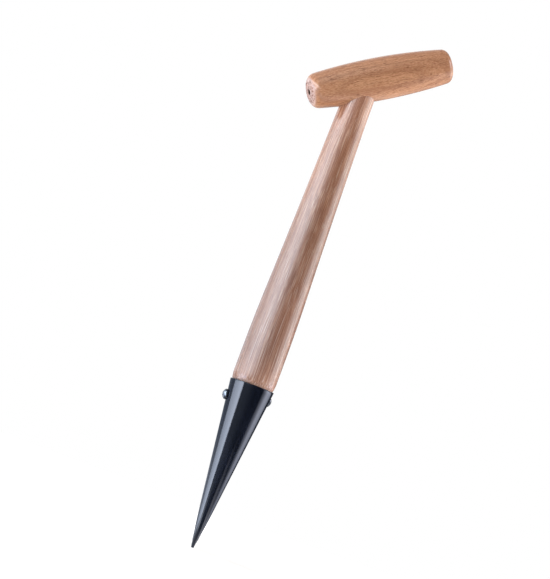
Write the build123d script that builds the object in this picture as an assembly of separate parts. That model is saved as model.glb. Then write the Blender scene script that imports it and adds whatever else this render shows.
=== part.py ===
from build123d import *
import os
from math import atan2, cos, degrees, radians, sin, sqrt, tan

# A dibber with a slanted T-grip: two beech turnings, a rolled steel cone and two screws.
# It stands on its point at the origin, the shaft along +Z and the grip in the XZ plane.

# Driving dimensions in millimetres, angles in degrees.
TOOL_LENGTH = 390.0             # from the point to the highest edge of the grip

# Grip: a barrel on a slanted axis, its +X end higher.
GRIP_LENGTH = 105.0
GRIP_BELLY_DIAMETER = 30.4
GRIP_END_DIAMETER = 23.6        # where the barrel's curve would meet the end face
GRIP_HIGH_EDGE_ROUND = 4.5
GRIP_LOW_EDGE_ROUND = 6.2
GRIP_SLANT = 32.0               # away from square to the shaft
GRIP_OFFSET = 11.0              # along the grip, from the shaft's axis to the grip's middle
CENTRE_MARK_DIAMETER = 3.8      # left by the lathe in both ends
CENTRE_MARK_DEPTH = 5.0

# Shaft: tenon, long taper, belly and the seat inside the cone.
TENON_DIAMETER = 22.2
TENON_PAST_AXIS = 6.0           # mortise floor above the crossing of the two axes
TENON_CHAMFER = 1.0
SHAFT_BELLY_DIAMETER = 31.4
SHAFT_BELLY_HEIGHT = 6.0        # above the cone's rim
BELLY_FULLNESS = 68.0           # pull of the upright belly on the taper's curve
NECK_STRAIGHTNESS = 160.0       # pull of the neck's slope on that curve
NECK_TAPER = 1.32               # slope of the curve at the neck, from the axis
SEAT_DEPTH = 55.0               # how far the wood goes into the cone
SEAT_CHAMFER = 1.5

# Cone: a shell of even wall with a solid, slightly rounded nose.
CONE_LENGTH = 120.0
CONE_RIM_DIAMETER = 32.0
CONE_WALL = 1.0
CONE_RIM_CHAMFER = 0.3
NOSE_LENGTH = 25.0              # the stretch that curves in to the point
NOSE_DIAMETER = 9.3             # where that stretch starts
POINT_DIAMETER = 1.8
NOSE_SOLID_LENGTH = 22.0        # below this height the shell is closed to solid steel
SEAM_WIDTH = 0.5                # the butt weld along the back
SEAM_DEPTH = 0.25
SEAM_AZIMUTH = 90.0

# Screws: pan head with a cross recess, square to the cone's wall.
SCREW_SHANK_DIAMETER = 3.6
SCREW_LENGTH = 12.0
SCREW_POINT_LENGTH = 3.0
SCREW_HEAD_DIAMETER = 7.4
SCREW_HEAD_HEIGHT = 3.2
SCREW_HEAD_SIDE = 1.3           # straight side of the head below its dome
RECESS_SPAN = 4.2
RECESS_WIDTH = 0.9
RECESS_DEPTH = 1.6
NEAR_SCREW_DROP = 12.0          # below the rim
NEAR_SCREW_AZIMUTH = 173.0
FAR_SCREW_DROP = 7.0
FAR_SCREW_AZIMUTH = 13.0

# Clearances.
TENON_CLEARANCE = 0.1           # glue line round the tenon, on the radius
TENON_END_CLEARANCE = 0.4       # below the mortise floor
RIM_GAP = 0.15                  # between the wood and the shell at the rim
SEAT_CLEARANCE = 0.15           # between the wood's nose and the shell
SCREW_HOLE_CLEARANCE = 0.25     # round the shank in the shell
PILOT_CLEARANCE = 0.05          # round the shank in the wood
PILOT_END_CLEARANCE = 1.0
HEAD_SEAT_CLEARANCE = 0.05      # under the head

# Grip placement, worked out from the height that its far upper edge has to reach.
slant = radians(GRIP_SLANT)
grip_half = GRIP_LENGTH / 2
grip_belly = GRIP_BELLY_DIAMETER / 2
grip_end = GRIP_END_DIAMETER / 2
barrel_sag = grip_belly - grip_end
barrel_radius = (grip_half**2 + barrel_sag**2) / (2 * barrel_sag)
edge_place = grip_half - GRIP_HIGH_EDGE_ROUND
edge_radius = sqrt((barrel_radius - GRIP_HIGH_EDGE_ROUND) ** 2 - edge_place**2) - barrel_radius + grip_belly
edge_rise = edge_place * sin(slant) + edge_radius * cos(slant) + GRIP_HIGH_EDGE_ROUND
crossing_height = TOOL_LENGTH - edge_rise - GRIP_OFFSET * sin(slant)

# Heights along the shaft.
tenon_radius = TENON_DIAMETER / 2
neck_height = crossing_height - tenon_radius * tan(slant) - grip_belly / cos(slant)
mortise_floor = crossing_height + TENON_PAST_AXIS
tenon_end = mortise_floor - TENON_END_CLEARANCE
belly_height = CONE_LENGTH + SHAFT_BELLY_HEIGHT
seat_end = CONE_LENGTH - SEAT_DEPTH

# The cone's straight wall, from the nose up to the rim.
rim_radius = CONE_RIM_DIAMETER / 2
nose_radius = NOSE_DIAMETER / 2
wall_angle = atan2(rim_radius - nose_radius, CONE_LENGTH - NOSE_LENGTH)
wall_across = CONE_WALL / cos(wall_angle)


def wall_radius(height):
    """Radius of the cone's outside at a height on its straight wall."""
    return rim_radius - (CONE_LENGTH - height) * tan(wall_angle)


def bore_radius(height):
    """Radius of the cone's inside at a height."""
    return wall_radius(height) - wall_across


def turned(outline):
    """Solid turned about Z from closed lines in the XZ plane."""
    return revolve(make_face(Plane.XZ * outline), Axis.Z)


def make_centre_mark():
    """Tool that leaves a lathe-centre mark below the XY plane."""
    radius = CENTRE_MARK_DIAMETER / 2
    outline = Polyline(
        (0, radius),
        (radius, radius),
        (radius, -CENTRE_MARK_DEPTH),
        (0, -CENTRE_MARK_DEPTH - radius),
        close=True,
    )
    return turned(outline)


def make_grip():
    """Barrel with rounded ends, centre marks and the mortise, in its place on the shaft."""
    ends = Polyline((grip_end, grip_half), (0, grip_half), (0, -grip_half), (grip_end, -grip_half))
    barrel = ThreePointArc((grip_end, -grip_half), (grip_belly, 0), (grip_end, grip_half))
    profile = make_face(Plane.XZ * (ends + barrel))
    for height, edge_round in ((-grip_half, GRIP_LOW_EDGE_ROUND), (grip_half, GRIP_HIGH_EDGE_ROUND)):
        corner = profile.vertices().sort_by_distance((grip_end, 0, height))[0]
        profile = fillet(corner, edge_round)
    body = revolve(profile, Axis.Z)
    mark = make_centre_mark()
    body -= Pos(0, 0, grip_half) * mark
    body -= Pos(0, 0, -grip_half) * Rot(180, 0, 0) * mark
    place = Plane(
        origin=(GRIP_OFFSET * cos(slant), 0, crossing_height + GRIP_OFFSET * sin(slant)),
        x_dir=(0, 1, 0),
        z_dir=(cos(slant), 0, sin(slant)),
    )
    mortise_depth = mortise_floor - neck_height
    mortise = Cylinder(
        tenon_radius + TENON_CLEARANCE,
        mortise_depth,
        align=(Align.CENTER, Align.CENTER, Align.MIN),
    )
    return place.location * body - Pos(0, 0, neck_height) * mortise


def make_shaft(screw_planes):
    """Turned shaft from the nose of its seat to the end of its tenon, with screw pilots."""
    belly_radius = SHAFT_BELLY_DIAMETER / 2
    rim_wood = bore_radius(CONE_LENGTH) - RIM_GAP
    nose_wood = bore_radius(seat_end) - SEAT_CLEARANCE
    seat = Polyline(
        (0, seat_end),
        (nose_wood - SEAT_CHAMFER, seat_end),
        (nose_wood, seat_end + SEAT_CHAMFER),
        (rim_wood, CONE_LENGTH),
    )
    shoulder = TangentArc((belly_radius, belly_height), (rim_wood, CONE_LENGTH), tangent=(0, -1))
    taper = Bezier(
        (belly_radius, belly_height),
        (belly_radius, belly_height + BELLY_FULLNESS),
        (tenon_radius + NECK_STRAIGHTNESS * tan(radians(NECK_TAPER)), neck_height - NECK_STRAIGHTNESS),
        (tenon_radius, neck_height),
    )
    tenon = Polyline(
        (tenon_radius, neck_height),
        (tenon_radius, tenon_end - TENON_CHAMFER),
        (tenon_radius - TENON_CHAMFER, tenon_end),
        (0, tenon_end),
        (0, seat_end),
    )
    shaft = turned(seat + shoulder + taper + tenon)
    pilot_depth = SCREW_LENGTH + PILOT_END_CLEARANCE
    for plane in screw_planes:
        shaft -= plane.location * inward_bore(PILOT_CLEARANCE, pilot_depth)
    return shaft


def make_cone(screw_planes):
    """Painted shell with its nose, rim, seam and screw holes."""
    down_the_wall = (-sin(wall_angle), -cos(wall_angle))
    nose = TangentArc((nose_radius, NOSE_LENGTH), (POINT_DIAMETER / 2, 0), tangent=down_the_wall)
    shell = Polyline(
        (nose_radius, NOSE_LENGTH),
        (rim_radius, CONE_LENGTH),
        (rim_radius - wall_across, CONE_LENGTH),
        (bore_radius(NOSE_SOLID_LENGTH), NOSE_SOLID_LENGTH),
        (0, NOSE_SOLID_LENGTH),
        (0, 0),
        (POINT_DIAMETER / 2, 0),
    )
    profile = make_face(Plane.XZ * (nose + shell))
    rims = profile.vertices().group_by(Axis.Z)[-1]
    cone = revolve(chamfer(rims, CONE_RIM_CHAMFER), Axis.Z)
    cone -= make_seam_groove()
    for plane in screw_planes:
        cone -= plane.location * inward_bore(SCREW_HOLE_CLEARANCE, SCREW_LENGTH)
    return cone


def make_seam_groove():
    """Tool for the shallow groove that the weld leaves along the back of the shell."""
    floor_inset = SEAM_DEPTH / cos(wall_angle)
    outline = Polyline(
        (wall_radius(NOSE_LENGTH) - floor_inset, NOSE_LENGTH),
        (wall_radius(CONE_LENGTH) - floor_inset, CONE_LENGTH),
        (rim_radius + CONE_WALL, CONE_LENGTH),
        (nose_radius + CONE_WALL, NOSE_LENGTH),
        close=True,
    )
    groove = extrude(make_face(Plane.XZ * outline), SEAM_WIDTH / 2, both=True)
    return Rot(0, 0, SEAM_AZIMUTH) * groove


def screw_plane(drop, azimuth):
    """Plane on the cone's wall for a screw, its Z pointing out of the wall.

    The drop is measured down from the rim and the azimuth about Z from +X.
    """
    height = CONE_LENGTH - drop
    turn = radians(azimuth)
    outward = (cos(turn), sin(turn))
    radius = wall_radius(height)
    return Plane(
        origin=(radius * outward[0], radius * outward[1], height),
        x_dir=(-outward[1], outward[0], 0),
        z_dir=(
            cos(wall_angle) * outward[0],
            cos(wall_angle) * outward[1],
            -sin(wall_angle),
        ),
    )


def inward_bore(clearance, depth):
    """Tool for a hole round a screw's shank, from outside the wall to a depth below it."""
    return Cylinder(
        SCREW_SHANK_DIAMETER / 2 + clearance,
        depth + SCREW_HEAD_HEIGHT,
        align=(Align.CENTER, Align.CENTER, Align.MIN),
    ).moved(Pos(0, 0, -depth))


def make_screw(plane):
    """Pan-head screw with a cross recess, seated on the wall at a plane."""
    shank_radius = SCREW_SHANK_DIAMETER / 2
    head_radius = SCREW_HEAD_DIAMETER / 2
    head_top = HEAD_SEAT_CLEARANCE + SCREW_HEAD_HEIGHT
    side_top = HEAD_SEAT_CLEARANCE + SCREW_HEAD_SIDE
    body = Polyline(
        (0, head_top),
        (0, -SCREW_LENGTH),
        (shank_radius, SCREW_POINT_LENGTH - SCREW_LENGTH),
        (shank_radius, HEAD_SEAT_CLEARANCE),
        (head_radius, HEAD_SEAT_CLEARANCE),
        (head_radius, side_top),
    )
    dome = TangentArc((0, head_top), (head_radius, side_top), tangent=(1, 0))
    screw = turned(body + dome)
    slot = Box(RECESS_SPAN, RECESS_WIDTH, 2 * RECESS_DEPTH)
    for turn in (0, 90):
        screw -= Pos(0, 0, head_top) * Rot(0, 0, turn) * slot
    return plane.location * screw


screw_planes = {
    "near_screw": screw_plane(NEAR_SCREW_DROP, NEAR_SCREW_AZIMUTH),
    "far_screw": screw_plane(FAR_SCREW_DROP, FAR_SCREW_AZIMUTH),
}

pieces = {
    "grip": make_grip(),
    "shaft": make_shaft(screw_planes.values()),
    "steel_cone": make_cone(screw_planes.values()),
}
for name, plane in screw_planes.items():
    pieces[name] = make_screw(plane)

os.makedirs("parts", exist_ok=True)
for name, piece in pieces.items():
    export_step(piece, f"parts/{name}.step")

print(f"axes cross at {crossing_height:.2f}, neck at {neck_height:.2f}, tenon ends at {tenon_end:.2f}")
print(f"cone wall leans {degrees(wall_angle):.2f} degrees")
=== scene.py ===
"""Looks of a T-handle dibber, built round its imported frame.

Two lacquered beech turnings, a black painted steel cone and two zinc screws are each modelled as a
fine mesh in the place of a CAD node. They stand on a white ground between tall softboxes.
"""
import logging
from abc import ABC, abstractmethod
from dataclasses import dataclass
from enum import Enum
from math import acos, asin, atan2, cos, hypot, pi, radians, sin, sqrt, tan
from typing import Mapping, NamedTuple, Optional, Sequence, Union

import bmesh
import bpy
from mathutils import Color, Euler, Matrix, Vector
from mathutils.geometry import interpolate_bezier


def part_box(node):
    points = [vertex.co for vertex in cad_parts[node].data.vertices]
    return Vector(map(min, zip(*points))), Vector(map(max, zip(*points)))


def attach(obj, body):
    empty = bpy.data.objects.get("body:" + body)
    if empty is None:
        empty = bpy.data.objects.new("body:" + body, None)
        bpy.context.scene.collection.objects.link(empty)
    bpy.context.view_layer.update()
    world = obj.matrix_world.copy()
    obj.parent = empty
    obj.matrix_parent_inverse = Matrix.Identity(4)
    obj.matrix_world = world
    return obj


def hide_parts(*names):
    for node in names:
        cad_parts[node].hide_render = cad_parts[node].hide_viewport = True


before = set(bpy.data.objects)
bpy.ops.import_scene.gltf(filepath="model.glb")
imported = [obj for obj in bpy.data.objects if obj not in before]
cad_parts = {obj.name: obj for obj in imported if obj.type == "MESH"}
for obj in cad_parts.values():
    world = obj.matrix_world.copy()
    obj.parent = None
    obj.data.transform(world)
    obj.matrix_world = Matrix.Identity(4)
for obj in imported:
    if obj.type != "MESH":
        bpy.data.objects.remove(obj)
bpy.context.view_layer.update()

LOG = logging.getLogger("dibber")
BODY = "root"
MM = 0.001

Thing = bpy.types.Object
Socket = bpy.types.NodeSocket
Source = Union[Socket, "Colour", float, Sequence[float]]
Inputs = Mapping[Union[int, str], Source]
Span = tuple[float, float]
Triple = tuple[float, float, float]
ORIGIN: Triple = (0.0, 0.0, 0.0)
PLAIN: Triple = (1.0, 1.0, 1.0)


class Slot(Enum):
    """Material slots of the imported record."""

    GRIP_BEECH = "grip_beech"
    SHAFT_BEECH = "shaft_beech"
    BLACK_PAINT = "black_paint"
    ZINC = "zinc"


class Reach(Enum):
    """What a lamp lights of a finish: its gloss or its body colour."""

    GLOSS = "gloss"
    BODY = "body"


class Station(NamedTuple):
    """One ring of a turned outline."""

    radius: float
    height: float


class Tint(NamedTuple):
    """Share of each colour at one place on a ramp."""

    place: float
    red: float
    green: float
    blue: float


class Fade(NamedTuple):
    """Where across a softbox its light is full, and the share that is left at its two edges."""

    hot_place: float = 0.5
    left_share: float = 1.0
    right_share: float = 1.0


@dataclass(frozen=True)
class Colour:
    """A display colour, each channel from 0 to 255."""

    red: float
    green: float
    blue: float

    def linear(self) -> tuple[float, ...]:
        """Return the colour as scene-linear RGBA."""
        shares = (self.red / 255, self.green / 255, self.blue / 255)
        return (*Color(shares).from_srgb_to_scene_linear(), 1.0)


class Wiring:
    """Adds and joins the nodes of one tree."""

    def __init__(self, tree: bpy.types.NodeTree) -> None:
        """Start from an empty tree."""
        self.tree = tree
        tree.nodes.clear()

    def node(self, kind: str, inputs: Optional[Inputs] = None, **settings: object) -> bpy.types.Node:
        """Add a node, set its options and link or set its inputs.

        Args:
            kind: Blender's name of the node's type, after the prefix that all of them have.
            inputs: Outputs to link or plain values to set, by the name or number of the input.
            settings: Options of the node by name.

        Returns:
            The new node.
        """
        made = self.tree.nodes.new("ShaderNode" + kind)
        for name, value in settings.items():
            setattr(made, name, value)
        for key, source in (inputs or {}).items():
            if isinstance(source, Socket):
                self.tree.links.new(source, made.inputs[key])
            else:
                made.inputs[key].default_value = source.linear() if isinstance(source, Colour) else source
        return made

    def math(self, operation: str, *values: Source) -> Socket:
        """Return the result of a Math node."""
        return self.node("Math", dict(enumerate(values)), operation=operation).outputs[0]

    def times(self, first: Source, second: Source) -> Socket:
        """Return the product of two numbers."""
        return self.math("MULTIPLY", first, second)

    def scaled(self, value: Source, gain: Source, offset: Source) -> Socket:
        """Return a number times a gain, plus an offset."""
        return self.math("MULTIPLY_ADD", value, gain, offset)

    def vector(self, operation: str, *values: Source) -> Socket:
        """Return the vector of a Vector Math node."""
        return self.node("VectorMath", dict(enumerate(values)), operation=operation).outputs["Vector"]

    def measure(self, operation: str, *values: Source) -> Socket:
        """Return the number of a Vector Math node."""
        return self.node("VectorMath", dict(enumerate(values)), operation=operation).outputs["Value"]

    def off_axis(self, place: Socket) -> Socket:
        """Return the distance of a place from the X axis."""
        return self.measure("LENGTH", self.vector("MULTIPLY", place, (0.0, 1.0, 1.0)))

    def split(self, place: Socket) -> Sequence[Socket]:
        """Return the X, Y and Z of a vector."""
        return self.node("SeparateXYZ", {0: place}).outputs

    def joined(self, *parts: Source) -> Socket:
        """Return the vector of an X, a Y and a Z."""
        return self.node("CombineXYZ", dict(enumerate(parts))).outputs[0]

    def rise(self, value: Source, low: float, high: float) -> Socket:
        """Return a smooth step from 0 at one value to 1 at another."""
        inputs = {"Value": value, "From Min": low, "From Max": high}
        return self.node("MapRange", inputs, interpolation_type="SMOOTHSTEP").outputs["Result"]

    def noise(self, place: Socket, pitch: Triple, detail: float = 2.0) -> Socket:
        """Return a noise from 0 to 1, its blotches of the pitch's size along X, Y and Z."""
        inputs = {"Vector": self.vector("DIVIDE", place, pitch), "Scale": 1.0, "Detail": detail}
        return self.node("TexNoise", inputs).outputs["Fac"]

    def mix(self, factor: Source, first: Source, second: Source) -> Socket:
        """Return a blend of two colours, from the first at 0 to the second at 1."""
        # The node has sockets for each kind of data, and these are the colours'.
        return self.node("Mix", {0: factor, 6: first, 7: second}, data_type="RGBA").outputs[2]

    def ramp(self, value: Source, tints: Sequence[Tint]) -> Socket:
        """Blend from tint to tint.

        Args:
            value: Place among the tints.
            tints: The tints in order of their places.

        Returns:
            A colour's socket.
        """
        first = tints[0].place
        reach = tints[-1].place - first
        made = self.node("ValToRGB", {0: self.scaled(value, 1 / reach, -first / reach)})
        elements = made.color_ramp.elements
        for tint in tints[1:-1]:
            elements.new((tint.place - first) / reach)
        # A ramp holds no more than 1, so it holds half of each share.
        for element, tint in zip(elements, tints):
            element.color = (tint.red / 2, tint.green / 2, tint.blue / 2, 1.0)
        return self.vector("MULTIPLY", made.outputs["Color"], (2.0, 2.0, 2.0))

    def bump(self, height: Source, depth: float, **coarser: Socket) -> Socket:
        """Return a normal that a height of 0 to 1 roughens to a depth, over a coarser Normal if any."""
        return self.node("Bump", {"Height": height, "Distance": depth, **coarser}).outputs["Normal"]

    def millimetres(self, centre: Triple = ORIGIN, turn: Triple = ORIGIN) -> Socket:
        """Return object coordinates in millimetres, about a centre and along turned axes.

        Args:
            centre: Origin of the pattern in metres.
            turn: Euler angles that lay the pattern's axes on the piece.

        Returns:
            The coordinates' socket.
        """
        place = self.node("TexCoord").outputs["Object"]
        inputs = {"Vector": place, "Location": centre, "Rotation": turn, "Scale": (MM, MM, MM)}
        return self.node("Mapping", inputs, vector_type="TEXTURE").outputs["Vector"]

    def shown(self) -> Socket:
        """Find the rays that show a background, and don't only carry its light.

        Returns:
            A socket that is 1 for these rays.
        """
        rays = self.node("LightPath").outputs
        seen = self.math("MAXIMUM", rays["Is Camera Ray"], rays["Is Glossy Ray"])
        return self.math("MAXIMUM", seen, rays["Is Transmission Ray"])

    def emission(self, strength: Source, colour: Source = (*PLAIN, 1.0)) -> Socket:
        """Return the shader of a glow."""
        return self.node("Emission", {"Color": colour, "Strength": strength}).outputs[0]

    def surface(self, inputs: Inputs) -> None:
        """Finish the tree with a Principled shader."""
        self.output(self.node("BsdfPrincipled", inputs).outputs[0])

    def output(self, shader: Socket, kind: str = "Material") -> None:
        """Send a shader to the output of a material, a light or a world."""
        self.node("Output" + kind, {"Surface": shader})


class Finish(ABC):
    """A surface finish that makes its own material."""

    name: str
    slot: Slot

    def material(self) -> bpy.types.Material:
        """Make the finish's material.

        Returns:
            A new material.
        """
        made = bpy.data.materials.new(self.name)
        made.use_nodes = True
        self.wire(Wiring(made.node_tree))
        return made

    @abstractmethod
    def wire(self, wiring: Wiring) -> None:
        """Fill the material's node tree."""


@dataclass(frozen=True)
class BeechFinish(Finish):
    """Lacquered beech with rings, rays and pores that run through the whole piece.

    The grain runs along the pattern's X axis. The rings curve about a pith that lies beside the
    piece, and the rays spread out from the pith. A pitch is the size of a pattern along X, Y and Z,
    in millimetres, and an edge is the range of a noise over which its mark comes in. The tints have
    their places along the grain and lighten or darken the wood there; on the shaft they are painted
    light and shade.
    """

    name: str
    slot: Slot
    centre: Triple
    turn: Triple
    pith: Span
    cut_place: float
    pale: Colour
    warm: Colour
    late_wood: Colour
    ray: Colour
    end_grain: Colour
    fleck_strength: float
    broad_gain: float
    line_gain: float
    fibre_gain: float
    tints: tuple[Tint, ...]
    line_length: float = 28.0
    wander: float = 7.0
    streak_strength: float = 0.0
    mark_radius: float = 0.0

    ring_strength: float = 0.3
    ring_pitch: float = 2.6
    ring_sway: float = 1.4
    sway_pitch: Triple = (140.0, 14.0, 14.0)
    late_start: float = 0.25
    late_peak: float = 0.9
    bend_pitch: Triple = (120.0, 28.0, 28.0)
    broad_pitch: Triple = (150.0, 9.0, 9.0)
    line_width: float = 0.4
    fibre_pitch: Triple = (1.8, 0.4, 0.4)
    streak_pitch: Triple = (40.0, 0.45, 0.45)
    streak_edge: Span = (0.55, 0.7)
    fleck_pitch: Triple = (4.0, 0.38, 6.0)
    fleck_edge: Span = (0.54, 0.7)
    patch_pitch: Triple = (16.0, 4.0, 4.0)
    patch_edge: Span = (0.3, 0.6)
    end_slope: Span = (0.68, 0.95)
    speck_pitch: Triple = (5.0, 1.3, 1.3)
    speck_edge: Span = (0.48, 0.6)
    speck_slope: Span = (0.82, 0.97)
    speck_strength: float = 0.85
    mark_dark: Colour = Colour(78, 53, 44)
    mark_blur: float = 0.3
    mark_from: Span = (45.0, 46.0)
    fleck_relief: float = -0.5
    grain_depth: float = 0.03 * MM
    roughness: float = 0.42
    line_roughness: float = 0.2
    sheen: float = 0.15
    coat_depth: float = 0.02 * MM
    coat_roughness: float = 0.24
    coat_ior: float = 1.6

    def wire(self, wiring: Wiring) -> None:
        """Fill the material's node tree.

        Args:
            wiring: The tree.
        """
        place = wiring.millimetres(self.centre, self.turn)
        start = wiring.vector("ADD", place, (self.cut_place, -self.wander / 2, -self.wander / 2))
        bends = wiring.noise(place, self.bend_pitch).node.outputs["Color"]
        wood = wiring.vector("MULTIPLY_ADD", bends, (0.0, self.wander, self.wander), start)
        late, flecks = self.figure(wiring, wood)
        lines = wiring.noise(wood, (self.line_length, self.line_width, self.line_width))
        layers = (
            (wiring.noise(wood, self.broad_pitch, detail=3.0), self.broad_gain),
            (lines, self.line_gain),
            (wiring.noise(wood, self.fibre_pitch, detail=1.0), self.fibre_gain),
        )
        tone: Source = (1.0 - sum(gain for _, gain in layers)) / 2
        for layer, gain in layers:
            tone = wiring.scaled(layer, gain, tone)

        colour = wiring.mix(tone, self.pale, self.warm)
        colour = wiring.mix(wiring.times(late, self.ring_strength), colour, self.late_wood)
        colour = wiring.mix(wiring.times(flecks, self.fleck_strength), colour, self.ray)
        if self.streak_strength:
            streaks = wiring.rise(wiring.noise(wood, self.streak_pitch, detail=1.0), *self.streak_edge)
            colour = wiring.mix(wiring.times(streaks, self.streak_strength), colour, self.end_grain)
        # Lighten or darken the wood along the piece by its tints; on the shaft this is painted light and
        # shade.
        tint = wiring.ramp(wiring.split(place)[0], self.tints)
        colour = wiring.vector("MULTIPLY", colour, tint)
        colour = self.ends(wiring, place, colour)

        relief = wiring.scaled(flecks, self.fleck_relief, lines)
        wiring.surface({
            "Base Color": colour,
            "Roughness": wiring.scaled(lines, self.line_roughness, self.roughness),
            "Specular IOR Level": self.sheen,
            "Normal": wiring.bump(relief, self.grain_depth),
            "Coat Weight": 1.0,
            "Coat Roughness": self.coat_roughness,
            "Coat IOR": self.coat_ior,
            "Coat Normal": wiring.bump(relief, self.coat_depth),
        })

    def figure(self, wiring: Wiring, wood: Socket) -> tuple[Socket, Socket]:
        """Draw the dark end of each yearly ring and the short dark dashes of the rays.

        Args:
            wiring: The material's tree.
            wood: Coordinates in the board in millimetres.

        Returns:
            Two sockets from 0 to 1, the late wood's and the dashes'.
        """
        from_pith = wiring.vector("SUBTRACT", wood, (0.0, *self.pith))
        along, across, beside = wiring.split(from_pith)
        reach = wiring.off_axis(from_pith)
        uneven = wiring.times(wiring.noise(wood, self.sway_pitch), self.ring_sway)
        phase = wiring.math("FRACT", wiring.scaled(reach, 1 / self.ring_pitch, uneven))
        fades_in = wiring.rise(phase, self.late_start, self.late_peak)
        stops = wiring.rise(phase, 1.0, self.late_peak)
        round_pith = wiring.times(wiring.math("ARCTAN2", beside, across), hypot(*self.pith))
        ray_place = wiring.joined(along, round_pith, reach)
        dashes = wiring.rise(wiring.noise(ray_place, self.fleck_pitch, detail=1.0), *self.fleck_edge)
        patches = wiring.rise(wiring.noise(wood, self.patch_pitch), *self.patch_edge)
        return wiring.times(fades_in, stops), wiring.times(dashes, patches)

    def ends(self, wiring: Wiring, place: Socket, colour: Socket) -> Socket:
        """Lay the pale end grain, its dark specks and the darker centre-mark holes over a colour.

        Args:
            wiring: The material's tree.
            place: Coordinates in millimetres about the middle of the piece.
            colour: Colour of the wood along the grain.

        Returns:
            A colour's socket.
        """
        grain = Euler(self.turn).to_matrix() @ Vector((1.0, 0.0, 0.0))
        normal = wiring.node("NewGeometry").outputs["Normal"]
        slope = wiring.math("ABSOLUTE", wiring.measure("DOT_PRODUCT", normal, tuple(grain)))
        colour = wiring.mix(wiring.rise(slope, *self.end_slope), colour, self.end_grain)
        specks = wiring.rise(wiring.noise(place, self.speck_pitch), *self.speck_edge)
        specks = wiring.times(specks, wiring.rise(slope, *self.speck_slope))
        colour = wiring.mix(wiring.times(specks, self.speck_strength), colour, self.ray)
        if not self.mark_radius:
            return colour
        # Darken the wood inside the centre marks' holes.
        inside = wiring.rise(wiring.off_axis(place), self.mark_radius + self.mark_blur, self.mark_radius)
        from_middle = wiring.math("ABSOLUTE", wiring.split(place)[0])
        marked = wiring.times(inside, wiring.rise(from_middle, *self.mark_from))
        return wiring.mix(marked, colour, self.mark_dark)


@dataclass(frozen=True)
class GlossPaint(Finish):
    """Glossy dipped paint with a faint orange peel, lighter in clouds and towards the point,
    where the lightening is a painted highlight, and rubbed thin on it.

    Heights are in millimetres above the point.
    """

    name: str
    slot: Slot
    body: Colour
    haze_and_highlight: Colour
    rubbed: Colour
    highlight_heights: Span = (115.0, 30.0)
    highlight_gain: float = 0.3
    haze_and_highlight_edge: Span = (0.35, 0.9)
    rubbed_heights: Span = (18.0, 2.0)
    cloud_pitch: Triple = (9.0, 9.0, 30.0)
    peel_pitch: Triple = (1.6, 1.6, 2.4)
    peel_depth: float = 0.008 * MM
    roll_pitch: Triple = (0.09, 1.0, 70.0)
    roll_depth: float = 0.02 * MM
    roughness: float = 0.06
    cloud_roughness: float = 0.08
    ior: float = 1.6

    def wire(self, wiring: Wiring) -> None:
        """Fill the material's node tree.

        Args:
            wiring: The tree.
        """
        place = wiring.millimetres()
        across, away, height = wiring.split(place)
        cloud = wiring.noise(place, self.cloud_pitch, detail=4.0)
        # The paint is lighter in random clouds and towards the point; towards the point it is a painted
        # highlight.
        low_down = wiring.rise(height, *self.highlight_heights)
        haze_and_highlight = wiring.rise(wiring.scaled(low_down, self.highlight_gain, cloud), *self.haze_and_highlight_edge)
        painted = wiring.mix(haze_and_highlight, self.body, self.haze_and_highlight)
        round_axis = wiring.joined(wiring.math("ARCTAN2", away, across), 0.0, height)
        waves = wiring.bump(wiring.noise(round_axis, self.roll_pitch), self.roll_depth)
        peel = wiring.noise(place, self.peel_pitch, detail=1.0)
        wiring.surface({
            "Base Color": wiring.mix(wiring.rise(height, *self.rubbed_heights), painted, self.rubbed),
            "Roughness": wiring.scaled(cloud, self.cloud_roughness, self.roughness),
            "Normal": wiring.bump(peel, self.peel_depth, Normal=waves),
            "IOR": self.ior,
        })


@dataclass(frozen=True)
class ZincPlate(Finish):
    """Bright zinc plating with a fine spangle."""

    name: str
    slot: Slot
    bright: Colour
    dull: Colour
    spangle_pitch: Triple = (1.6, 1.6, 1.6)
    spangle_edge: Span = (0.35, 0.7)
    spangle_depth: float = 0.5 * MM
    roughness: float = 0.18
    spangle_roughness: float = 0.2

    def wire(self, wiring: Wiring) -> None:
        """Fill the material's node tree.

        Args:
            wiring: The tree.
        """
        spangle = wiring.noise(wiring.millimetres(), self.spangle_pitch)
        wiring.surface({
            "Base Color": wiring.mix(wiring.rise(spangle, *self.spangle_edge), self.bright, self.dull),
            "Metallic": 1.0,
            "Roughness": wiring.scaled(spangle, self.spangle_roughness, self.roughness),
            "Normal": wiring.bump(spangle, self.spangle_depth),
        })


class Outline:
    """Rings of a turned body, drawn one stretch after another."""

    def __init__(self, radius: float, height: float) -> None:
        """Start at a first ring."""
        self.rings = [Station(radius, height)]

    def line(self, radius: float, height: float, steps: int = 1) -> None:
        """Draw a straight stretch to a last ring in even steps."""
        start, end = Vector(self.rings[-1]), Vector((radius, height))
        self.rings += [Station(*start.lerp(end, step / steps)) for step in range(1, steps + 1)]

    def arc(
        self, centre: Station, radius: float, start: float, end: float, steps: int, lead: int = 0
    ) -> None:
        """Draw an arc.

        Args:
            centre: Centre of the arc.
            radius: Radius of the arc.
            start: Angle at which it starts, in radians from square to the axis.
            end: Angle at which it ends.
            steps: Number of rings along it.
            lead: Number of rings on the straight way to its start, where it starts further on.
        """
        rings = []
        for step in range(steps + 1):
            turn = start + (end - start) * step / steps
            rings.append(Station(centre.radius + radius * cos(turn), centre.height + radius * sin(turn)))
        if lead:
            self.line(*rings[0], lead)
        self.rings += rings[1:]

    def curve(self, handles: Sequence[Station], steps: int) -> None:
        """Draw a curve from the last ring on, by its two handles and its end."""
        points = interpolate_bezier(*map(Vector, (self.rings[-1], *handles)), steps + 1)
        self.rings += [Station(*point) for point in points[1:]]


def pick_out(piece: Optional[Thing] = None) -> None:
    """Make one object, or none, the only selected and the active one.

    Args:
        piece: The object, if any.
    """
    bpy.ops.object.select_all(action="DESELECT")
    if piece:
        piece.select_set(True)
    bpy.context.view_layer.objects.active = piece


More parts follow.
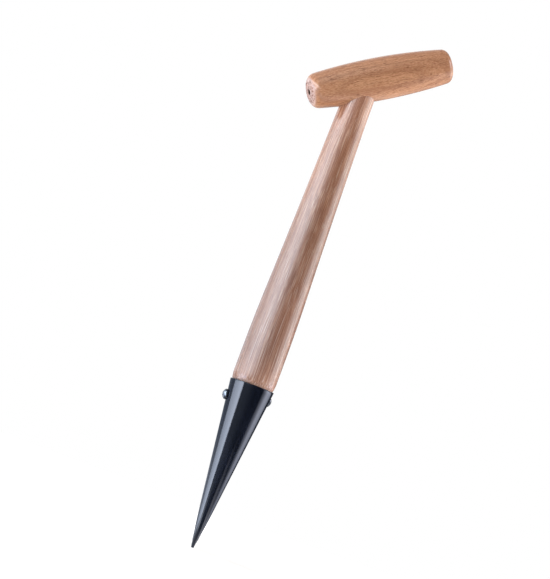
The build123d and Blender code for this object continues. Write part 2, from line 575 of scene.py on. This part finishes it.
def turn_body(name: str, rings: Sequence[Station], sides: int, place: Matrix) -> Thing:
    """Turn a closed body ring by ring from a first disc.

    Args:
        name: Name of the new object.
        rings: Rings in order along the outline, none of them of no radius.
        sides: Number of sides of each ring.
        place: Place of its axis.

    Returns:
        The new object, closed at both ends.
    """
    first = rings[0]
    pick_out()
    bpy.ops.mesh.primitive_circle_add(vertices=sides, radius=first.radius, fill_type="TRIFAN")
    piece = bpy.context.active_object
    piece.name = piece.data.name = name
    bpy.ops.object.mode_set(mode="EDIT")
    bpy.ops.transform.translate(value=(0.0, 0.0, first.height))
    for last, ring in zip(rings, rings[1:]):
        rise = (0.0, 0.0, ring.height - last.height)
        bpy.ops.mesh.extrude_region_move(TRANSFORM_OT_translate={"value": rise})
        growth = ring.radius / last.radius
        bpy.ops.transform.resize(value=(growth, growth, 1.0), center_override=(0.0, 0.0, ring.height))
    bpy.ops.mesh.select_all(action="SELECT")
    bpy.ops.mesh.normals_make_consistent(inside=False)
    bpy.ops.object.mode_set(mode="OBJECT")
    return put_in_place(piece, place)


def make_slip(name: str, size: Triple, place: Matrix, foot: float = 1.0) -> Thing:
    """Make a straight slip for a cutter.

    Args:
        name: Name of the new object.
        size: Its length along X, Y and Z.
        place: Place of its middle.
        foot: Share of X and Y that its lower face keeps.

    Returns:
        The new object.
    """
    pick_out()
    bpy.ops.mesh.primitive_cube_add(size=1.0)
    slip = bpy.context.active_object
    slip.name = name
    bpy.ops.object.mode_set(mode="EDIT")
    bpy.ops.transform.resize(value=size)
    bpy.ops.mesh.select_all(action="DESELECT")
    mesh = bmesh.from_edit_mesh(slip.data)
    min(mesh.faces, key=lambda face: face.calc_center_median().z).select_set(True)
    bmesh.update_edit_mesh(slip.data)
    bpy.ops.transform.resize(value=(foot, foot, 1.0))
    bpy.ops.object.mode_set(mode="OBJECT")
    return put_in_place(slip, place)


def put_in_place(piece: Thing, place: Matrix) -> Thing:
    """Move an object and put its place into its mesh.

    Args:
        piece: The object, at the origin.
        place: Where it goes.

    Returns:
        The same object, at the origin again.
    """
    pick_out(piece)
    piece.matrix_world = place
    bpy.ops.object.transform_apply(location=True, rotation=True, scale=True)
    return piece


def make_drill(radius: float, low: float, high: float, place: Matrix, sides: int = 32) -> Thing:
    """Return a drill that reaches from a low to a high end on the Z axis of its place."""
    return turn_body("drill", [Station(radius, low), Station(radius, high)], sides, place)


def cut_out(piece: Thing, cutters: Sequence[Thing]) -> None:
    """Take cutters out of a piece and remove them.

    Args:
        piece: The piece.
        cutters: Closed bodies in their places.
    """
    for cutter in cutters:
        pick_out(piece)
        modifier = piece.modifiers.new(cutter.name, "BOOLEAN")
        modifier.operation = "DIFFERENCE"
        modifier.solver = "EXACT"
        modifier.object = cutter
        bpy.ops.object.modifier_apply(modifier=modifier.name)
        bpy.data.objects.remove(cutter)


def shade_smooth(piece: Thing, crease: float) -> None:
    """Shade a piece smooth, apart from edges sharper than an angle in degrees."""
    pick_out(piece)
    bpy.ops.object.shade_smooth_by_angle(angle=radians(crease))


class Piece(ABC):
    """A turned piece of the tool that stands for one CAD node."""

    name: str
    node: str
    finish: Finish
    sides: int = 192
    crease: float = 40.0

    @property
    def place(self) -> Matrix:
        """Place of the axis that the piece is turned on."""
        return Matrix()

    @abstractmethod
    def outline(self) -> Sequence[Station]:
        """Return the rings that the piece is turned to."""

    @abstractmethod
    def cutters(self) -> Sequence[Thing]:
        """Return the bodies that are cut out of the piece."""

    def build(self) -> Thing:
        """Turn and cut the piece.

        Returns:
            Its mesh in its place.
        """
        piece = turn_body(self.name, self.outline(), self.sides, self.place)
        cut_out(piece, self.cutters())
        shade_smooth(piece, self.crease)
        return piece

    def dress(self, piece: Thing) -> None:
        """Give a mesh its finish."""
        piece.data.materials.append(self.finish.material())

    def enter(self, piece: Thing, node: str) -> None:
        """Dress a mesh and put it in the frame.

        Args:
            piece: The mesh in its place.
            node: The CAD node that it stands for.
        """
        self.dress(piece)
        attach(piece, BODY)
        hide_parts(node)
        LOG.info("%s stands for %s with %d faces", piece.name, node, len(piece.data.polygons))

    def fit(self) -> None:
        """Build the piece and put it in the frame."""
        self.enter(self.build(), self.node)


@dataclass
class SteelCone(Piece):
    """Painted shell rolled from sheet, with a solid point, a seam and two screw holes."""

    finish: Finish
    length: float
    name: str = "painted_cone"
    node: str = "steel_cone"
    rim_radius: float = 16.0 * MM
    wall: float = 1.0 * MM
    rim_round: float = 0.3 * MM
    nose_length: float = 25.0 * MM
    nose_radius: float = 4.65 * MM
    point_radius: float = 0.9 * MM
    first_radius: float = 0.6 * MM
    solid_length: float = 22.0 * MM
    last_radius: float = 0.3 * MM
    seam_width: float = 0.5 * MM
    seam_depth: float = 0.25 * MM
    seam_azimuth: float = 90.0
    screw_drops: Span = (12.0 * MM, 7.0 * MM)
    screw_azimuths: Span = (173.0, 13.0)
    hole_radius: float = 2.05 * MM
    hole_reach: float = 4.0 * MM
    crease: float = 30.0

    @property
    def wall_angle(self) -> float:
        """Lean of the straight wall from the axis."""
        return atan2(self.rim_radius - self.nose_radius, self.length - self.nose_length)

    def wall_radius(self, height: float) -> float:
        """Return the outside radius at a height on the straight wall."""
        return self.rim_radius - (self.length - height) * tan(self.wall_angle)

    def bore_radius(self, height: float) -> float:
        """Return the inside radius at a height."""
        return self.wall_radius(height) - self.wall / cos(self.wall_angle)

    def on_wall(self, height: float, azimuth: float) -> Matrix:
        """Return a place on the wall at a bearing in degrees from +X, its Z axis up the slope."""
        out = Matrix.Translation((self.wall_radius(height), 0.0, height))
        return Matrix.Rotation(radians(azimuth), 4, "Z") @ out @ Matrix.Rotation(self.wall_angle, 4, "Y")

    def screw_seats(self) -> list[Matrix]:
        """Return the places of both screws, each with its Z axis square to the wall."""
        outward = Matrix.Rotation(pi / 2, 4, "Y")
        return [
            self.on_wall(self.length - drop, azimuth) @ outward
            for drop, azimuth in zip(self.screw_drops, self.screw_azimuths)
        ]

    def outline(self) -> Sequence[Station]:
        """Draw the point, the outside, the rim and the bore.

        Returns:
            The rings in order.
        """
        lean = self.wall_angle
        inward = Vector((-cos(lean), sin(lean)))
        to_point = Vector((self.point_radius - self.nose_radius, -self.nose_length))
        bow = to_point.length_squared / (2 * to_point.dot(inward))
        nose = Station(self.nose_radius + bow * inward.x, self.nose_length + bow * inward.y)
        at_point = atan2(-nose.height, self.point_radius - nose.radius)
        turn_height = self.length - self.rim_round
        outer_turn = Station(self.rim_radius - self.rim_round, turn_height)
        inner_turn = Station(self.bore_radius(self.length) + self.rim_round, turn_height)

        drawn = Outline(self.first_radius, 0.0)
        drawn.line(self.point_radius, 0.0)
        drawn.arc(nose, bow, at_point, -lean, steps=24)
        drawn.arc(outer_turn, self.rim_round, -lean, pi / 2, steps=6, lead=40)
        drawn.arc(inner_turn, self.rim_round, pi / 2, pi - lean, steps=6, lead=1)
        drawn.line(self.bore_radius(self.solid_length), self.solid_length, steps=24)
        drawn.line(self.last_radius, self.solid_length, steps=2)
        return drawn.rings

    def cutters(self) -> Sequence[Thing]:
        """Make a slip for the seam along the back of the wall, and a drill for each screw.

        Returns:
            The cutters in their places.
        """
        run = (self.length - self.nose_length) / cos(self.wall_angle)
        middle = (self.length + self.nose_length) / 2
        seam = (2 * self.seam_depth, self.seam_width, run)
        slip = make_slip("seam_cutter", seam, self.on_wall(middle, self.seam_azimuth))
        reach = self.hole_reach
        seats = self.screw_seats()
        drills = [make_drill(self.hole_radius, -reach, reach, seat) for seat in seats]
        return [slip, *drills]


@dataclass
class Grip(Piece):
    """Turned barrel across the top, slanted and off its middle, with a blind mortise."""

    finish: Finish
    top: float
    name: str = "beech_grip"
    node: str = "grip"
    length: float = 105.0 * MM
    belly_radius: float = 15.2 * MM
    end_radius: float = 11.8 * MM
    high_edge_round: float = 4.5 * MM
    low_edge_round: float = 6.2 * MM
    slant: float = radians(32.0)
    offset: float = 11.0 * MM
    mark_radius: float = 1.9 * MM
    mark_depth: float = 5.0 * MM
    mark_tip_radius: float = 0.1 * MM
    tenon_radius: float = 11.1 * MM
    tenon_past_axis: float = 6.0 * MM
    glue_line: float = 0.1 * MM
    mortise_sides: int = 96

    @property
    def barrel_radius(self) -> float:
        """Radius of the arc that the barrel's side follows."""
        sag = self.belly_radius - self.end_radius
        return ((self.length / 2) ** 2 + sag**2) / (2 * sag)

    @property
    def barrel_centre(self) -> Station:
        """Centre of that arc."""
        return Station(self.belly_radius - self.barrel_radius, 0.0)

    def edge_centre(self, edge_round: float) -> Station:
        """Return the centre of the arc that rounds an end's edge, with the end towards +Z."""
        place = self.length / 2 - edge_round
        return Station(
            self.barrel_centre.radius + sqrt((self.barrel_radius - edge_round) ** 2 - place**2), place
        )

    @property
    def crossing_height(self) -> float:
        """Height at which the grip's axis crosses the shaft's.

        Returns:
            The height above the tool's point.
        """
        edge = self.edge_centre(self.high_edge_round)
        below_top = (edge.height + self.offset) * sin(self.slant) + edge.radius * cos(self.slant)
        return self.top - self.high_edge_round - below_top

    @property
    def neck_height(self) -> float:
        """Height at which the shaft's taper meets its tenon."""
        below_axis = self.tenon_radius * tan(self.slant) + self.belly_radius / cos(self.slant)
        return self.crossing_height - below_axis

    def half_rings(self, edge_round: float) -> Sequence[Station]:
        """Draw the barrel from its middle to the bottom of one end's centre mark.

        Args:
            edge_round: Radius of that end's edge.

        Returns:
            The rings in order, with the end towards +Z.
        """
        half = self.length / 2
        floor = half - self.mark_depth
        edge = self.edge_centre(edge_round)
        meets = asin(edge.height / (self.barrel_radius - edge_round))
        drawn = Outline(self.belly_radius, 0.0)
        drawn.arc(self.barrel_centre, self.barrel_radius, 0.0, meets, steps=44)
        drawn.arc(edge, edge_round, meets, pi / 2, steps=14)
        drawn.line(self.mark_radius, half, steps=8)
        drawn.line(self.mark_radius, floor, steps=3)
        drawn.line(self.mark_tip_radius, floor - self.mark_radius, steps=3)
        return drawn.rings

    @property
    def place(self) -> Matrix:
        """Place of the barrel's middle and axis."""
        tilt = Matrix.Rotation(pi / 2 - self.slant, 4, "Y") @ Matrix.Translation((0.0, 0.0, self.offset))
        return Matrix.Translation((0.0, 0.0, self.crossing_height)) @ tilt

    def outline(self) -> Sequence[Station]:
        """Draw the barrel from its lower centre mark to its upper one.

        Returns:
            The rings in order.
        """
        lower = self.half_rings(self.low_edge_round)
        turned_over = [Station(ring.radius, -ring.height) for ring in reversed(lower[1:])]
        return turned_over + self.half_rings(self.high_edge_round)

    def cutters(self) -> Sequence[Thing]:
        """Make a drill for the blind mortise, straight up the shaft's axis.

        Returns:
            The cutter in its place.
        """
        bore = self.tenon_radius + self.glue_line
        low = self.neck_height - self.belly_radius
        floor = self.crossing_height + self.tenon_past_axis
        return [make_drill(bore, low, floor, Matrix(), self.mortise_sides)]


@dataclass
class Shaft(Piece):
    """Turned shaft: tenon, long taper, belly and the seat inside the cone."""

    finish: Finish
    grip: Grip
    cone: SteelCone
    seat_end: float
    tenon_end: float
    name: str = "beech_shaft"
    node: str = "shaft"
    tenon_chamfer: float = 1.0 * MM
    belly_radius: float = 15.7 * MM
    belly_above_rim: float = 6.0 * MM
    belly_fullness: float = 68.0 * MM
    neck_straightness: float = 160.0 * MM
    neck_taper: float = radians(1.32)
    seat_chamfer: float = 1.5 * MM
    rim_gap: float = 0.15 * MM
    seat_clearance: float = 0.15 * MM
    pilot_radius: float = 1.85 * MM
    pilot_depth: float = 13.0 * MM
    middle_radius: float = 0.3 * MM

    def outline(self) -> Sequence[Station]:
        """Draw the seat, the belly, the taper and the tenon.

        Returns:
            The rings in order.
        """
        rim_height = self.cone.length
        rim_radius = self.cone.bore_radius(rim_height) - self.rim_gap
        nose_radius = self.cone.bore_radius(self.seat_end) - self.seat_clearance
        belly_height = rim_height + self.belly_above_rim
        sink = self.belly_radius - rim_radius
        shoulder = (sink**2 + self.belly_above_rim**2) / (2 * sink)
        shoulder_centre = Station(self.belly_radius - shoulder, belly_height)
        turn_in = asin(self.belly_above_rim / shoulder)
        neck = Station(self.grip.tenon_radius, self.grip.neck_height)
        neck_spread = self.neck_straightness * tan(self.neck_taper)
        taper = (
            Station(self.belly_radius, belly_height + self.belly_fullness),
            Station(neck.radius + neck_spread, neck.height - self.neck_straightness),
            neck,
        )

        drawn = Outline(self.middle_radius, self.seat_end)
        drawn.line(nose_radius - self.seat_chamfer, self.seat_end, steps=3)
        drawn.line(nose_radius, self.seat_end + self.seat_chamfer)
        drawn.line(rim_radius, rim_height, steps=20)
        drawn.arc(shoulder_centre, shoulder, -turn_in, 0.0, steps=14)
        drawn.curve(taper, steps=72)
        drawn.line(neck.radius, self.tenon_end - self.tenon_chamfer, steps=10)
        drawn.line(neck.radius - self.tenon_chamfer, self.tenon_end)
        drawn.line(self.middle_radius, self.tenon_end, steps=3)
        return drawn.rings

    def cutters(self) -> Sequence[Thing]:
        """Return a drill for each screw's pilot hole."""
        return [
            make_drill(self.pilot_radius, -self.pilot_depth, self.cone.hole_reach, seat)
            for seat in self.cone.screw_seats()
        ]


@dataclass
class Screws(Piece):
    """Pan-head screws with a cross recess, driven into the cone's wall."""

    finish: Finish
    seats: Sequence[Matrix]
    spins: Mapping[str, float]
    name: str = "zinc_screw"
    node: str = "screw"
    shank_radius: float = 1.8 * MM
    shank_length: float = 12.0 * MM
    point_length: float = 3.0 * MM
    point_radius: float = 0.1 * MM
    head_radius: float = 3.7 * MM
    head_height: float = 3.2 * MM
    head_side: float = 1.3 * MM
    head_round: float = 0.25 * MM
    head_seat: float = 0.05 * MM
    crown_radius: float = 0.1 * MM
    recess_span: float = 4.2 * MM
    recess_width: float = 0.9 * MM
    recess_depth: float = 1.6 * MM
    recess_taper: float = 0.45
    sides: int = 64
    crease: float = 35.0

    @property
    def top(self) -> float:
        """Height of the head's crown above the wall."""
        return self.head_seat + self.head_height

    def outline(self) -> Sequence[Station]:
        """Draw the point, the shank and the head, with the wall that the head seats on at 0.

        Returns:
            The rings in order.
        """
        side_top = self.head_seat + self.head_side
        fall = self.top - side_top
        dome = (self.head_radius**2 + fall**2) / (2 * fall)
        side_angle = acos(self.head_radius / dome)
        crown_angle = acos(self.crown_radius / dome)
        lip = Station(self.head_radius - self.head_round, self.head_seat + self.head_round)

        drawn = Outline(self.point_radius, -self.shank_length)
        drawn.line(self.shank_radius, self.point_length - self.shank_length, steps=4)
        drawn.line(self.shank_radius, self.head_seat, steps=8)
        drawn.line(lip.radius, self.head_seat, steps=2)
        drawn.arc(lip, self.head_round, -pi / 2, 0.0, steps=4)
        drawn.line(self.head_radius, side_top, steps=2)
        drawn.arc(Station(0.0, self.top - dome), dome, side_angle, crown_angle, steps=16)
        return drawn.rings

    def cutters(self) -> Sequence[Thing]:
        """Make the two slips of the cross, which narrow towards the bottom of the recess.

        Returns:
            The cutters in their places.
        """
        size = (self.recess_span, self.recess_width, 2 * self.recess_depth)
        crown = Matrix.Translation((0.0, 0.0, self.top))
        crossed = (crown @ Matrix.Rotation(turn, 4, "Z") for turn in (0.0, pi / 2))
        return [make_slip("recess_cutter", size, place, self.recess_taper) for place in crossed]

    def fit(self) -> None:
        """Model one screw on its own axis and put a copy of it in each seat."""
        pattern = self.build()
        for seat, (side, spin) in zip(self.seats, self.spins.items()):
            screw = pattern.copy()
            screw.data = pattern.data.copy()
            screw.name = screw.data.name = f"{side}_{self.name}"
            bpy.context.scene.collection.objects.link(screw)
            put_in_place(screw, seat @ Matrix.Rotation(radians(spin), 4, "Z"))
            self.enter(screw, f"{side}_{self.node}")
        bpy.data.objects.remove(pattern)


@dataclass(frozen=True)
class Viewpoint:
    """Where the photograph was taken from: a little below, with the camera rolled."""

    azimuth: float = 15.8
    elevation: float = -4.18
    roll: float = 20.34
    distance: float = 2.0
    lens: float = 178.08
    target: Triple = (-8.01 * MM, 2.32 * MM, 188.28 * MM)
    far_clip: float = 100.0

    def bearing(self, degrees_right: float, rise: float) -> Vector:
        """Return a direction from the tool, in degrees to the camera's right and above the horizon."""
        turn = Euler((radians(-rise), 0.0, radians(degrees_right - self.azimuth)))
        return turn.to_matrix() @ Vector((0.0, -1.0, 0.0))

    def place(self) -> None:
        """Make the scene's camera."""
        back = self.bearing(0.0, self.elevation)
        level = back.to_track_quat("Z", "Y").to_matrix().to_4x4()
        data = bpy.data.cameras.new("camera")
        data.lens = self.lens
        data.clip_end = self.far_clip
        camera = bpy.data.objects.new("camera", data)
        stand = Matrix.Translation(Vector(self.target) + self.distance * back)
        camera.matrix_world = stand @ level @ Matrix.Rotation(radians(self.roll), 4, "Z")
        bpy.context.scene.collection.objects.link(camera)
        bpy.context.scene.camera = camera


@dataclass(frozen=True)
class Softbox:
    """A softbox that spans a range of bearings and rises in degrees, as seen from the tool.

    It is aimed at a height on the tool's axis in millimetres. The rises' shares are what is left of
    its light at its low and its high edge.
    """

    name: str
    reach: Reach
    bearings: Span
    rises: Span
    luminance: float
    aim: float
    tint: Triple = (0.89, 1.0, 1.1)
    fade: Fade = Fade()
    rise_shares: Span = (1.0, 1.0)
    distance: float = 1.6

    def width(self, edges: Span) -> float:
        """Return the width that spans the angle between two edges."""
        return 2 * self.distance * tan(radians(edges[1] - edges[0]) / 2)

    def place(self, viewpoint: Viewpoint) -> None:
        """Hang the softbox, which the camera doesn't see.

        Args:
            viewpoint: The camera's place, from whose bearing the edges are measured.
        """
        middle = viewpoint.bearing(sum(self.bearings) / 2, sum(self.rises) / 2)
        data = bpy.data.lights.new(self.name, "AREA")
        data.shape = "RECTANGLE"
        data.size = self.width(self.bearings)
        data.size_y = self.width(self.rises)
        data.energy = self.luminance * pi * data.size * data.size_y
        data.color = self.tint
        data.use_nodes = True
        self.wire(Wiring(data.node_tree))
        lamp = bpy.data.objects.new(self.name, data)
        lamp.location = Vector((0.0, 0.0, self.aim * MM)) + self.distance * middle
        lamp.rotation_euler = middle.to_track_quat("Z", "Y").to_euler()
        lamp.visible_camera = False
        lamp.visible_diffuse = self.reach is Reach.BODY
        lamp.visible_glossy = self.reach is Reach.GLOSS
        bpy.context.scene.collection.objects.link(lamp)

    def wire(self, wiring: Wiring) -> None:
        """Fill the lamp's tree, brightest at the hot place and fading to its edges.

        Args:
            wiring: The lamp's tree.
        """
        across, upright, _ = wiring.split(wiring.node("NewGeometry").outputs["Parametric"])
        places = (0.0, self.fade.hot_place, 1.0)
        shares = (self.fade.left_share, 1.0, self.fade.right_share)
        row = wiring.ramp(across, [Tint(place, *(share,) * 3) for place, share in zip(places, shares)])
        low, high = self.rise_shares
        cloth = wiring.emission(wiring.times(row, wiring.scaled(upright, high - low, low)))
        wiring.output(cloth, "Light")


@dataclass(frozen=True)
class GroundFinish(Finish):
    """White ground that keeps the tool's shadow and shows white far from it."""

    name: str = "white_ground"
    near_glow: float = 0.14
    far_glow: float = 0.92
    reach: Span = (250.0, 900.0)
    bounce: float = 0.15
    shade: float = 0.9

    def wire(self, wiring: Wiring) -> None:
        """Fill the material's node tree.

        Args:
            wiring: The tree.
        """
        far = wiring.rise(wiring.measure("LENGTH", wiring.millimetres()), *self.reach)
        more = wiring.scaled(far, self.far_glow - self.near_glow, self.near_glow - self.bounce)
        glow = wiring.emission(wiring.scaled(wiring.shown(), more, self.bounce))
        matt = wiring.node("BsdfDiffuse", {"Color": (self.shade, self.shade, self.shade, 1.0)})
        wiring.output(wiring.node("AddShader", {0: matt.outputs[0], 1: glow}).outputs[0])


@dataclass(frozen=True)
class FlagFinish(Finish):
    """Dark bluish cloth of the flags, lighter on the left, with a white opening behind the tool.

    Places are in millimetres from the tool's point, as the camera sees them.
    """

    right_side: Triple
    far_side: Triple
    name: str = "flag_cloth"
    left: float = 0.3
    right: float = 0.04
    edges: Span = (-1500.0, 1500.0)
    tint: Triple = (0.85, 1.0, 1.22)
    opening: float = 0.9
    opening_reach: Span = (1200.0, 2500.0)
    opening_sill: Span = (480.0, 680.0)
    opening_foot: Span = (-250.0, -450.0)
    foot_share: float = 0.6

    def wire(self, wiring: Wiring) -> None:
        """Fill the material's node tree.

        Args:
            wiring: The tree.
        """
        place = wiring.millimetres()
        height = wiring.split(place)[2]
        share = wiring.rise(wiring.measure("DOT_PRODUCT", place, self.right_side), *self.edges)
        strength = wiring.scaled(share, self.right - self.left, self.left)
        dark = wiring.node("VectorMath", {0: self.tint, "Scale": strength}, operation="SCALE").outputs[0]
        behind = wiring.rise(wiring.measure("DOT_PRODUCT", place, self.far_side), *self.opening_reach)
        above = wiring.rise(height, *self.opening_sill)
        below = wiring.rise(height, *self.opening_foot)
        gap = wiring.times(behind, wiring.scaled(below, self.foot_share, above))
        white = (self.opening, self.opening, self.opening, 1.0)
        wiring.output(wiring.emission(1.0, wiring.mix(gap, dark, white)))


@dataclass(frozen=True)
class Studio:
    """White ground, dark flags all round, softboxes and a pale sky."""

    viewpoint: Viewpoint
    softboxes: tuple[Softbox, ...]
    ground_span: float = 8.0
    ground_drop: float = 0.2 * MM
    flag_radius: float = 3.0
    flag_height: float = 4.0
    flag_sides: int = 48
    ambient: float = 0.16

    def ground(self) -> Thing:
        """Lay the floor below the tool's point.

        Returns:
            The floor.
        """
        pick_out()
        bpy.ops.mesh.primitive_plane_add(size=self.ground_span)
        floor = bpy.context.active_object
        floor.name = "ground"
        floor.data.materials.append(GroundFinish().material())
        floor.visible_glossy = False
        floor.visible_shadow = False
        return put_in_place(floor, Matrix.Translation((0.0, 0.0, -self.ground_drop)))

    def flags(self) -> Thing:
        """Hang a closed drum of dark cloth that only reflections show.

        Returns:
            The drum.
        """
        pick_out()
        bpy.ops.mesh.primitive_cylinder_add(
            vertices=self.flag_sides, radius=self.flag_radius, depth=self.flag_height, end_fill_type="NGON"
        )
        drum = bpy.context.active_object
        drum.name = "flags"
        sides = (tuple(self.viewpoint.bearing(degrees, 0.0)) for degrees in (90.0, 180.0))
        drum.data.materials.append(FlagFinish(*sides).material())
        drum.visible_camera = False
        drum.visible_diffuse = False
        drum.visible_transmission = False
        drum.visible_shadow = False
        return drum

    def sky(self) -> None:
        """Make the world white where it shows, and an even fill elsewhere."""
        world = bpy.data.worlds.new("sky")
        world.use_nodes = True
        bpy.context.scene.world = world
        wiring = Wiring(world.node_tree)
        strength = wiring.scaled(wiring.shown(), 1.0 - self.ambient, self.ambient)
        background = wiring.node("Background", {"Color": (*PLAIN, 1.0), "Strength": strength})
        wiring.output(background.outputs[0], "World")

    def place(self) -> None:
        """Set the whole stage up."""
        self.ground()
        self.flags()
        self.sky()
        for softbox in self.softboxes:
            softbox.place(self.viewpoint)
        self.viewpoint.place()
        bpy.context.scene.view_settings.view_transform = "Standard"


COOL: Triple = (0.93, 1.0, 1.15)
SOFTBOXES = (
    Softbox("key_high", Reach.GLOSS, (-108.0, -15.0), (-2.0, 16.0), 7.6, 220.0, (0.88, 1.01, 1.13),
            Fade(0.66, 0.06, 0.6)),
    Softbox("key_edge", Reach.GLOSS, (-150.0, -100.0), (-2.0, 16.0), 1.6, 220.0, rise_shares=(1.0, 0.3)),
    Softbox("key_tail", Reach.GLOSS, (-16.0, 20.0), (-2.0, 16.0), 1.1, 220.0, fade=Fade(0.3, 1.0, 0.1)),
    Softbox("key_top", Reach.GLOSS, (-112.0, -58.0), (8.0, 16.0), 2.2, 220.0),
    Softbox("key_low", Reach.GLOSS, (-101.0, -45.0), (-17.0, -1.0), 7.3, 75.0, (0.89, 1.0, 1.22),
            Fade(0.86, 0.35, 0.8)),
    Softbox("fill_high", Reach.GLOSS, (76.0, 126.0), (-2.0, 18.0), 3.2, 220.0, PLAIN, Fade(0.7, 0.6, 0.9)),
    Softbox("fill_low", Reach.GLOSS, (66.0, 134.0), (-14.0, 0.0), 5.4, 75.0, (0.95, 1.0, 1.2),
            Fade(0.47, 0.03, 0.1), (0.15, 1.0)),
    Softbox("nose_right", Reach.GLOSS, (32.0, 140.0), (-18.6, -7.1), 3.0, 15.0, (0.98, 1.0, 1.12),
            Fade(0.31, 0.0, 0.5), (1.0, 0.0), distance=0.4),
    Softbox("nose_key", Reach.GLOSS, (-50.0, -24.0), (-17.4, -8.5), 4.0, 15.0, COOL,
            rise_shares=(1.0, 0.0), distance=0.4),
    Softbox("nose_left", Reach.GLOSS, (-160.0, -98.0), (-16.0, 6.4), 1.5, 15.0, COOL,
            rise_shares=(1.0, 0.0), distance=0.4),
    Softbox("left_wash", Reach.BODY, (-130.0, -50.0), (-60.0, -2.0), 2.15, 250.0, (1.03, 1.0, 0.97)),
    Softbox("right_wash", Reach.BODY, (78.0, 136.0), (-20.0, 25.0), 4.5, 220.0, (1.05, 1.0, 0.95)),
    Softbox("low_right_wash", Reach.BODY, (85.0, 145.0), (-15.0, 25.0), 1.2, 140.0, PLAIN, distance=0.35),
    Softbox("top_wash", Reach.BODY, (-110.0, -20.0), (40.0, 74.0), 3.6, 330.0, PLAIN),
    Softbox("neck_wash", Reach.BODY, (-100.0, -40.0), (-32.0, -6.0), 2.8, 318.0, PLAIN, distance=0.12),
    Softbox("screw_glint", Reach.GLOSS, (64.0, 92.0), (26.0, 56.0), 5.0, 108.0, (1.0, 0.97, 1.1)),
    Softbox("screw_side", Reach.GLOSS, (2.0, 34.0), (-52.0, -26.0), 1.6, 108.0, (0.95, 1.0, 1.05)),
    Softbox("under_wash", Reach.BODY, (80.0, 140.0), (-40.0, 20.0), 0.15, 360.0, PLAIN, distance=0.15),
)
GRIP_BEECH = BeechFinish(
    "grip_beech",
    Slot.GRIP_BEECH,
    centre=(9.3 * MM, 0.0, 353.5 * MM),
    turn=(0.0, -Grip.slant, 0.0),
    pith=(52.0, 12.0),
    cut_place=1240.0,
    pale=Colour(213, 159, 119),
    warm=Colour(180, 121, 85),
    late_wood=Colour(166, 111, 78),
    ray=Colour(118, 66, 40),
    end_grain=Colour(200, 166, 156),
    ring_strength=0.42,
    fleck_strength=0.68,
    broad_gain=1.3,
    line_gain=1.9,
    fibre_gain=2.3,
    mark_radius=1.9,
    # The grip is darker towards its low end.
    tints=(
        Tint(-52.0, 0.9, 0.9, 0.9),
        Tint(-22.0, 0.94, 0.94, 0.94),
        Tint(6.0, 1.0, 1.0, 1.0),
        Tint(52.0, 0.98, 0.98, 0.98),
    ),
)
SHAFT_BEECH = BeechFinish(
    "shaft_beech",
    Slot.SHAFT_BEECH,
    centre=(0.0, 0.0, 200.0 * MM),
    turn=(0.0, -pi / 2, 0.0),
    pith=(40.0, 34.0),
    cut_place=1410.0,
    pale=Colour(178, 137, 116),
    warm=Colour(140, 98, 79),
    late_wood=Colour(136, 93, 75),
    ray=Colour(122, 82, 65),
    end_grain=Colour(206, 184, 174),
    wander=3.0,
    fleck_strength=0.3,
    broad_gain=0.7,
    line_gain=4.9,
    line_length=60.0,
    fibre_gain=1.3,
    streak_strength=0.75,
    # Painted light and shade along the shaft: lighter at the cone's rim for light from below, lighter
    # under the grip where it takes out the grip's shade, and darker and more saturated in between.
    tints=(
        Tint(-80.0, 1.28, 1.28, 1.28),
        Tint(-58.0, 0.93, 0.92, 0.92),
        Tint(-30.0, 0.89, 0.82, 0.77),
        Tint(30.0, 0.77, 0.67, 0.565),
        Tint(95.0, 0.96, 0.83, 0.68),
        Tint(120.0, 1.2, 1.08, 0.95),
    ),
)
PAINT = GlossPaint(
    "black_paint",
    Slot.BLACK_PAINT,
    body=Colour(12, 16, 27),
    haze_and_highlight=Colour(24, 29, 44),
    rubbed=Colour(54, 56, 65),
)
ZINC = ZincPlate("zinc_plate", Slot.ZINC, Colour(148, 152, 158), Colour(88, 92, 98))
SCREW_SPINS = {"near": 4.0, "far": 40.0}


def main() -> None:
    """Build the pieces, the stage and the camera in order."""
    logging.basicConfig(level=logging.INFO, format="%(message)s")
    cone = SteelCone(PAINT, length=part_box("steel_cone")[1].z)
    grip = Grip(GRIP_BEECH, top=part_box("grip")[1].z)
    shaft_low, shaft_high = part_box("shaft")
    shaft = Shaft(SHAFT_BEECH, grip, cone, seat_end=shaft_low.z, tenon_end=shaft_high.z)
    screws = Screws(ZINC, cone.screw_seats(), SCREW_SPINS)
    for piece in (cone, grip, shaft, screws):
        piece.fit()
    Studio(Viewpoint(), SOFTBOXES).place()


if __name__ == "__main__":
    main()
